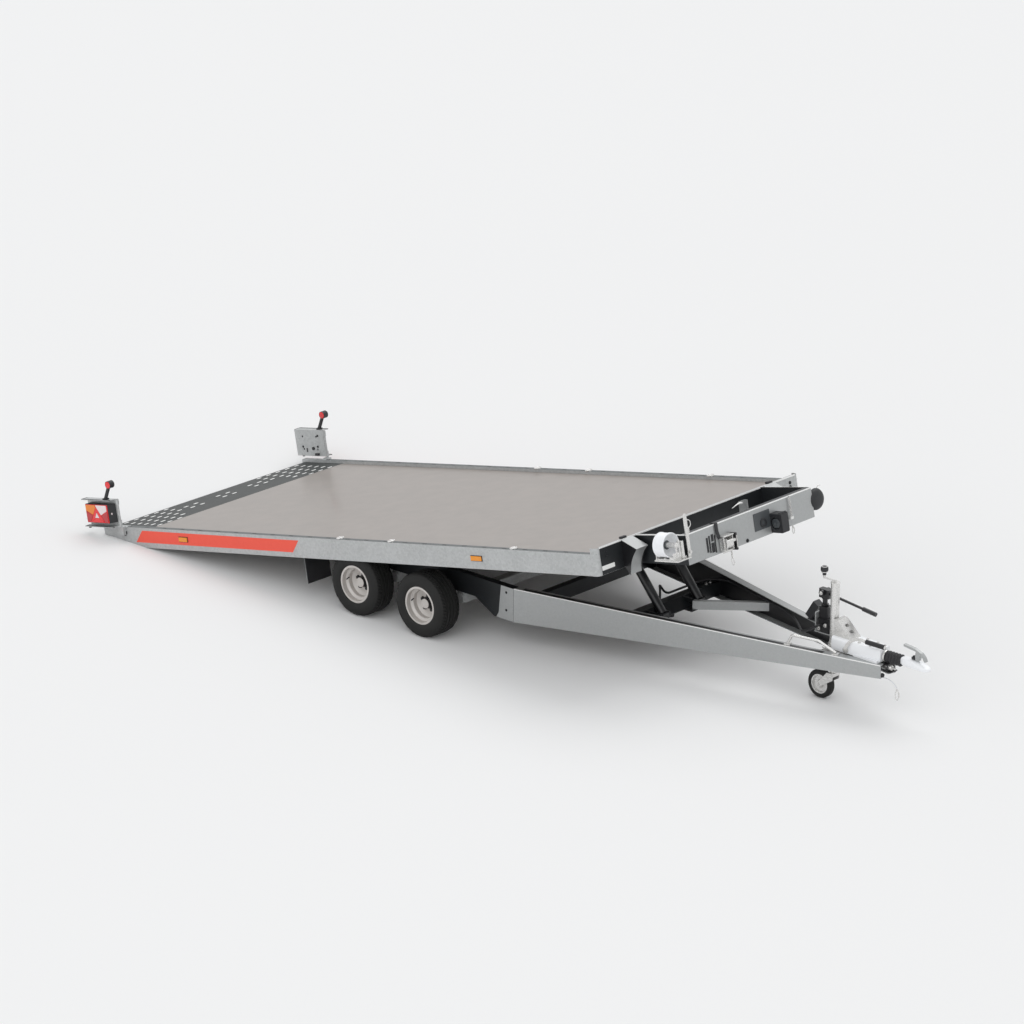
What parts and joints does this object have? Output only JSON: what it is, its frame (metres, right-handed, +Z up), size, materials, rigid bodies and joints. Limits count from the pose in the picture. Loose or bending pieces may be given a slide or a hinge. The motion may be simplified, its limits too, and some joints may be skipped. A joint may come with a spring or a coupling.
{
  "type": "tilt-bed car transporter trailer",
  "caption": "Tandem-axle tilting car transporter trailer, its flat plywood bed tipped to the ground, with a V drawbar, overrun coupling, jockey wheel, winch bar and swing-out rear lamps.",
  "frame": {"origin": "on the ground under the middle of the overall length, on the centre plane", "axes": "+X towards the coupling, +Y to the left, +Z up"},
  "size_m": [6.978, 2.272, 1.3065],
  "materials": {
    "galvanised": "hot-dip galvanised steel, dull light grey",
    "zinc": "bright zinc-plated steel",
    "white_steel": "pale silver paint on cast steel",
    "rubber": "black moulded rubber",
    "black_paint": "satin black paint",
    "black_plastic": "black moulded plastic",
    "plywood": "film-faced plywood with a fine anti-slip mesh",
    "grey_paint": "dark grey paint on punched sheet",
    "chrome_rod": "hard-chromed rod",
    "tyre": "black tyre rubber",
    "wheel_silver": "silver-white painted steel wheel"
  },
  "bodies": {
    "chassis": {"drawbar_beams": "galvanised", "chassis_rails": "galvanised", "chassis_crossmembers": "galvanised", "lift_crossmember": "galvanised", "drawbar_brace": "galvanised", "tilt_shaft": "zinc", "axles": "galvanised", "overrun_housing": "white_steel", "coupling_head": "white_steel", "drawbar_bellows": "rubber", "plug_bracket": "zinc", "handbrake_lever": "zinc", "grab_handle": "zinc", "mast_bracket": "zinc", "jockey_mast": "zinc", "jockey_crank": "zinc", "pump_bracket": "galvanised", "hand_pump": "black_paint", "pump_lever": "black_paint", "hydraulic_hose": "rubber", "valve_box": "black_plastic", "coupling_handle": "zinc", "breakaway_cable": "rubber", "breakaway_hook": "zinc"},
    "bed": {"side_rails": "galvanised", "cross_members": "galvanised", "long_members": "galvanised", "tilt_brackets": "galvanised", "deck_board": "plywood", "tail_plate": "grey_paint", "front_beam": "galvanised", "winch_bar": "galvanised", "guard_brackets": "galvanised", "lift_ears": "galvanised", "mudflaps": "rubber", "winch_frame": "zinc", "winch_drum": "zinc", "release_lever": "zinc", "strap_ratchet": "zinc", "socket_block": "black_plastic", "lamp_posts": "zinc"},
    "cylinder_barrels": {"cylinder_barrels": "black_paint"},
    "cylinder_rods": {"cylinder_rods": "chrome_rod"},
    "lamp_right": {"lamp_frame_right": "galvanised", "lamp_right": "black_plastic"},
    "lamp_left": {"lamp_frame_left": "galvanised", "lamp_left": "black_plastic"},
    "jockey_stem": {"jockey_stem": "zinc"},
    "jockey_fork": {"jockey_fork": "zinc"},
    "jockey_wheel": {"jockey_tyre": "tyre", "jockey_rim": "zinc"},
    "wheel_front_right": {"tyre_front_right": "tyre", "wheel_front_right": "wheel_silver"},
    "wheel_front_left": {"tyre_front_left": "tyre", "wheel_front_left": "wheel_silver"},
    "wheel_rear_right": {"tyre_rear_right": "tyre", "wheel_rear_right": "wheel_silver"},
    "wheel_rear_left": {"tyre_rear_left": "tyre", "wheel_rear_left": "wheel_silver"}
  },
  "joints": [
    {"name": "bed_tilt", "type": "hinge", "parent": "chassis", "child": "bed", "pos_m": [-0.53596, 0, 0.4006], "axis": [0, 1, 0], "range_deg": [0, 11.25]},
    {"name": "lift_barrel_swing", "type": "hinge", "parent": "chassis", "child": "cylinder_barrels", "pos_m": [1.35304, 0, 0.32], "axis": [0, 1, 0], "range_deg": [-22.91, 0]},
    {"name": "lift_rod_stroke", "type": "slide", "parent": "cylinder_barrels", "child": "cylinder_rods", "axis": [-0.6402, 0, 0.7682], "range_m": [-0.22968, 0]},
    {"name": "lamp_swing_right", "type": "hinge", "parent": "bed", "child": "lamp_right", "pos_m": [-3.14745, -1.072, 0.20227], "axis": [-0.1951, 0, 0.9808], "range_deg": [-90, 0]},
    {"name": "lamp_swing_left", "type": "hinge", "parent": "bed", "child": "lamp_left", "pos_m": [-3.14745, 1.072, 0.20227], "axis": [-0.1951, 0, 0.9808], "range_deg": [0, 90]},
    {"name": "wheel_spin_front_right", "type": "hinge", "parent": "chassis", "child": "wheel_front_right", "pos_m": [-0.16496, -0.9325, 0.232], "axis": [0, 1, 0], "continuous": true},
    {"name": "wheel_spin_front_left", "type": "hinge", "parent": "chassis", "child": "wheel_front_left", "pos_m": [-0.16496, 0.9325, 0.232], "axis": [0, 1, 0], "continuous": true},
    {"name": "wheel_spin_rear_right", "type": "hinge", "parent": "chassis", "child": "wheel_rear_right", "pos_m": [-0.79196, -0.9325, 0.232], "axis": [0, 1, 0], "continuous": true},
    {"name": "wheel_spin_rear_left", "type": "hinge", "parent": "chassis", "child": "wheel_rear_left", "pos_m": [-0.79196, 0.9325, 0.232], "axis": [0, 1, 0], "continuous": true},
    {"name": "jockey_raise", "type": "slide", "parent": "chassis", "child": "jockey_stem", "axis": [0, 0, 1], "range_m": [0, 0.115]},
    {"name": "jockey_swivel", "type": "hinge", "parent": "jockey_stem", "child": "jockey_fork", "pos_m": [2.68404, 0, 0.205], "axis": [0, 0, 1], "continuous": true},
    {"name": "jockey_spin", "type": "hinge", "parent": "jockey_fork", "child": "jockey_wheel", "pos_m": [2.58404, 0, 0.1], "axis": [0, 1, 0], "continuous": true}
  ],
  "couplings": [
    {"joint": "lift_barrel_swing", "follows": "bed_tilt", "ratio": -2.0357},
    {"joint": "lift_rod_stroke", "follows": "bed_tilt", "m_per_rad": -1.1691}
  ]
}
